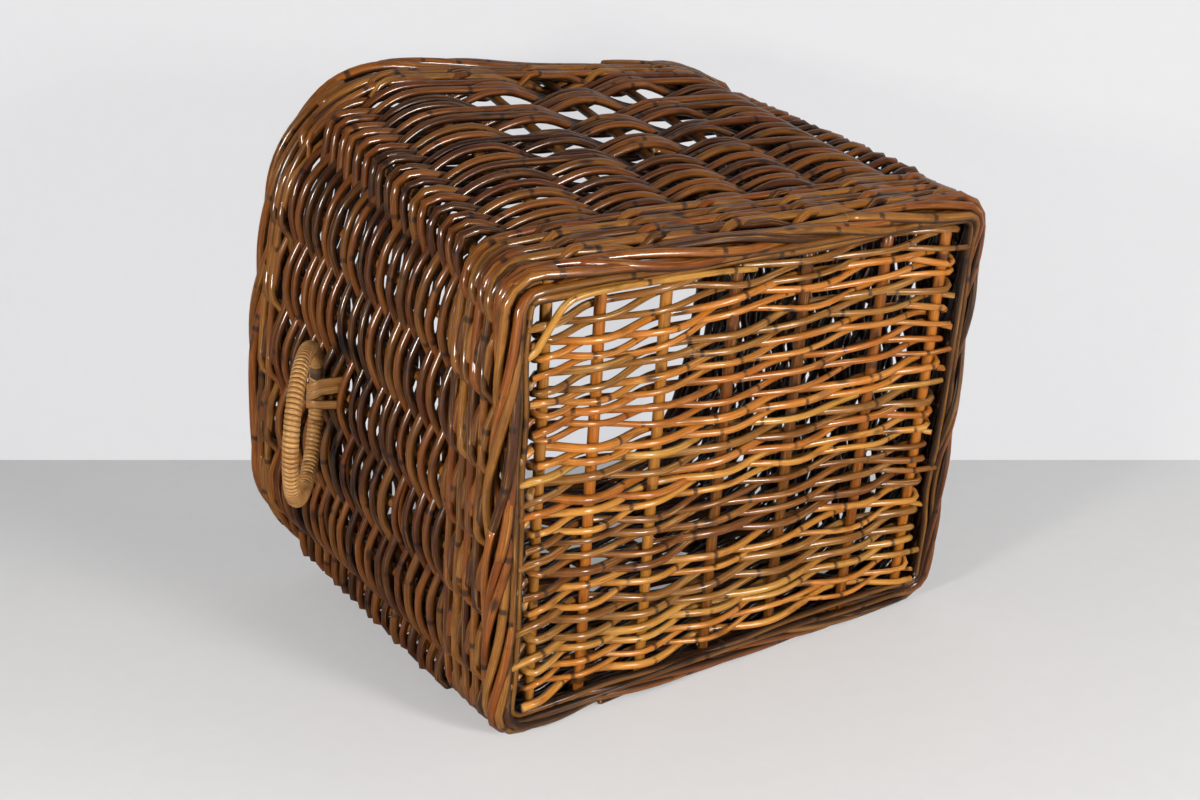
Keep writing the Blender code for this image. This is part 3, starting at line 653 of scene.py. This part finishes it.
def makeRing(body):
    radius = ring["outer"] / 2 - ring["tube"]
    full = 2 * math.pi
    end = full - ring["bare"][0] / radius
    start = end - ring["bare"][1] / radius
    core = RodBundle(body + "_core", sides=10)
    turns = np.linspace(0, full + 0.2, 80)
    places = [ringPoint(body, t) for t in turns]
    inJoint = (np.mod(turns, full) > start) & (np.mod(turns, full) < end)
    core.add([p for p, _ in places], [w for _, w in places], np.where(inJoint, ring["joint"], ring["core"]))
    standsFor(core.build(finishes["core"]), [body + "_hoop"], body)
    wrap = RodBundle(body + "_cane", sides=6)
    points, facings = [], []
    count = ring["turns"] * ring["pointsPerTurn"]
    reach = ring["tube"] - ring["caneThick"]
    for i in range(count + 1):
        t = end - full + (full + start - end) * i / count
        spin = 2 * math.pi * i / ring["pointsPerTurn"]
        place, way = ringPoint(body, t, math.cos(spin) * reach, math.sin(spin) * reach)
        middle, _ = ringPoint(body, t)
        points.append(place)
        facings.append((place - middle).normalized())
    wrap.add(points, facings, ring["caneWide"], flat=ring["caneThick"] / ring["caneWide"])
    standsFor(wrap.build(finishes["cane"]), [body + "_cane_wrap"], body)


lashing = dict(places=(-0.0128, -0.0070, 0.0070, 0.0128), steps=28, tail=0.1, hold=0.2, clear=0.0012,
               closer=0.0040, back=0.0105, backHalf=0.0035, backOut=0.004, halfWide=0.0032, flat=0.24)


def makeLashing(body):
    # Flat cane in four turns round the ring and the woven rods behind it
    point, axis, out, _ = ringFrame(body)
    node = body + "_lashing"
    rods = RodBundle(node + "_cane", sides=8)
    places = lashing["places"]
    points, facings = [], []
    steps = lashing["steps"]
    up = Vector((0, 0, 1))
    ringHalf = ring["tube"] + lashing["clear"]
    for number in range(3 * steps + 6):
        turn = number / steps - lashing["tail"]
        index = min(max(int(turn), 0), 2)
        move = float(smoothStep((turn - index - lashing["hold"]) / (1 - 2 * lashing["hold"])))
        across = places[index] + (places[index + 1] - places[index]) * move
        angle = math.pi + 2 * math.pi * turn
        # in front of the ring the turns lie closer together
        closer = max(math.cos(angle) + 0.9, 0) / 1.9 * min(abs(across) / places[2], 1)
        across -= math.copysign(lashing["closer"], across) * closer
        way = out * math.cos(angle) + up * math.sin(angle)
        # a belt round two round things: the ring in front and the rods behind
        back = max(-math.cos(angle), 0)
        centre = out * (-lashing["back"] * float(smoothStep(back * 2.5)))
        half = ringHalf + lashing["backHalf"] * float(smoothStep(back * 2)) * abs(math.sin(angle))
        place = point + axis * across + centre + way * (half + lashing["backOut"] * back)
        points.append(place)
        facings.append(way)
    rods.add(points, facings, lashing["halfWide"], flat=lashing["flat"])
    standsFor(rods.build(finishes["cane"]), [node])


makeStakes()
makeSideRods()
print("walls woven")
makeBorder("foot_rods", borders["foot"], ["foot_wale_outer", "foot_wale_inner"])
makeWale("upsett_rods_1", (0.0245, 0.0345), ["upsett_wale_1"])
makeWale("upsett_rods_2", (0.0450, 0.0555), ["upsett_wale_2"])
makeWale("top_wale_rods", (0.2905, 0.3005), ["top_wale"], radius=0.0031)
makeBorder("mouth_border_rods", borders["mouth"], ["mouth_border"])
print("foot, wales and border woven")
makeSticks()
makeBaseRods()
print("base woven")
for body in ("left_handle", "right_handle"):
    makeRing(body)
    makeLashing(body)
print("ring handles made")

# Camera, at the photograph's viewing angle
view = dict(place=(-0.6204, -0.4646, -0.7075), ahead=(0.52204, 0.41451, 0.74542),
            right=(0.83190, -0.05463, -0.55223), lens=48.0, sensor=36.0)
camera = bpy.data.objects.new("camera", bpy.data.cameras.new("camera"))
bpy.context.collection.objects.link(camera)
ahead = Vector(view["ahead"]).normalized()
right = Vector(view["right"])
right = (right - ahead * right.dot(ahead)).normalized()
turned = Matrix((right, right.cross(ahead), -ahead)).transposed().to_4x4()
camera.matrix_world = Matrix.Translation(view["place"]) @ turned
camera.data.lens = view["lens"]
camera.data.sensor_width = view["sensor"]
camera.data.clip_start = 0.02
bpy.context.scene.camera = camera
pictureUp = right.cross(ahead)

# Stage: the plane that the basket lies on, and a backdrop that meets it in a level line of the picture
stage = dict(floor=((0.84, 0.85, 0.87), (0.93, 0.93, 0.94), 0.30),
             wall=((0.78, 0.78, 0.80), (0.82, 0.82, 0.84), 0.8),
             reach=3.0, level=0.0500, grain=0.10, bounce=(0.40, 0.40, 0.41))


def stageFinish(name, colour, glow, share):
    # Pale paint, lifted for the camera by its share of a plain glow; it shows from its front alone,
    # so that views from behind see the basket
    f = Finish(name)
    place = f.node("ShaderNodeTexCoord", output=3)
    grain = f.noise(place, 70.0, 6.0)
    toCamera = f.node("ShaderNodeLightPath", output=0)
    paint = f.mix(grain * stage["grain"], colour, (0.5, 0.5, 0.51))
    f.set(Base_Color=f.mix(toCamera, stage["bounce"], paint), Roughness=0.85)
    lift = f.nodes.new("ShaderNodeEmission")
    f.put(lift.inputs[0], f.mix(grain * stage["grain"], glow, (0.6, 0.6, 0.61)))
    shown = f.nodes.new("ShaderNodeMixShader")
    f.put(shown.inputs[0], toCamera * share)
    f.links.new(f.shader.outputs[0], shown.inputs[1])
    f.links.new(lift.outputs[0], shown.inputs[2])
    clear = f.nodes.new("ShaderNodeBsdfTransparent")
    blend = f.nodes.new("ShaderNodeMixShader")
    f.put(blend.inputs[0], f.node("ShaderNodeNewGeometry", output=6))
    f.links.new(shown.outputs[0], blend.inputs[1])
    f.links.new(clear.outputs[0], blend.inputs[2])
    f.links.new(blend.outputs[0], f.nodes["Material Output"].inputs[0])
    return f.material


def stagePlane(name, middle, across, up, size, paint):
    bm = bmesh.new()
    bmesh.ops.create_grid(bm, x_segments=1, y_segments=1, size=size)
    turned = Matrix((across, up.cross(across), up)).transposed().to_4x4()
    bmesh.ops.transform(bm, verts=bm.verts, matrix=Matrix.Translation(middle) @ turned)
    mesh = bpy.data.meshes.new(name)
    bm.to_mesh(mesh)
    bm.free()
    mesh.materials.append(stageFinish(name + "_paint", *paint))
    plane = bpy.data.objects.new(name, mesh)
    bpy.context.collection.objects.link(plane)


def makeStage():
    b = basket
    lowLine = Vector((0, b["baseWidth"] / 2 + 0.001, 0))
    highLine = Vector((0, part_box("mouth_border")[1][1] + 0.001, b["height"]))
    up = Vector((1, 0, 0)).cross(highLine - lowLine).normalized()
    up = -up if up.y > 0 else up
    eye = Vector(view["place"])
    meets = []
    for aside in (-0.5, 0.5):
        ray = ahead * view["lens"] / view["sensor"] + right * aside - pictureUp * stage["level"]
        meets.append(eye + ray * ((lowLine - eye).dot(up) / ray.dot(up)))
    across = (meets[1] - meets[0]).normalized()
    back = (meets[0] + meets[1]) / 2
    deep = up.cross(across)
    deep = -deep if deep.dot(ahead) < 0 else deep
    reach = stage["reach"]
    stagePlane("stage_floor", back - deep * reach, across, up, reach, stage["floor"])
    stagePlane("stage_wall", back + up * reach, across, -deep, reach, stage["wall"])


makeStage()


def addLamp(name, place, aim, size, power, colour=(1, 1, 1)):
    lamp = bpy.data.objects.new(name, bpy.data.lights.new(name, "AREA"))
    lamp.data.energy = power
    lamp.data.size = size
    lamp.data.color = colour
    bpy.context.collection.objects.link(lamp)
    toAim = (Vector(aim) - Vector(place)).to_track_quat("-Z", "Y").to_matrix().to_4x4()
    lamp.matrix_world = Matrix.Translation(place) @ toAim
    return lamp


middle = Vector((0, 0, 0.15))
addLamp("keyLamp", middle - ahead * 1.3 + right * 1.1 - pictureUp * 0.05, middle, 0.35, 27, (1.0, 0.97, 0.92))
addLamp("topLamp", middle + ahead * 0.8 + right * 0.2 + pictureUp * 1.5, middle, 0.35, 18)
addLamp("fillLamp", middle - ahead * 1.1 - right * 0.75 - pictureUp * 0.12, middle, 0.2, 12,
        (1.0, 0.96, 0.90))

world = bpy.data.worlds.new("paleRoom")
bpy.context.scene.world = world
world.use_nodes = True
background = world.node_tree.nodes["Background"]
background.inputs[0].default_value = (0.92, 0.93, 0.95, 1)
background.inputs[1].default_value = 0.16
bpy.context.scene.view_settings.view_transform = "Standard"
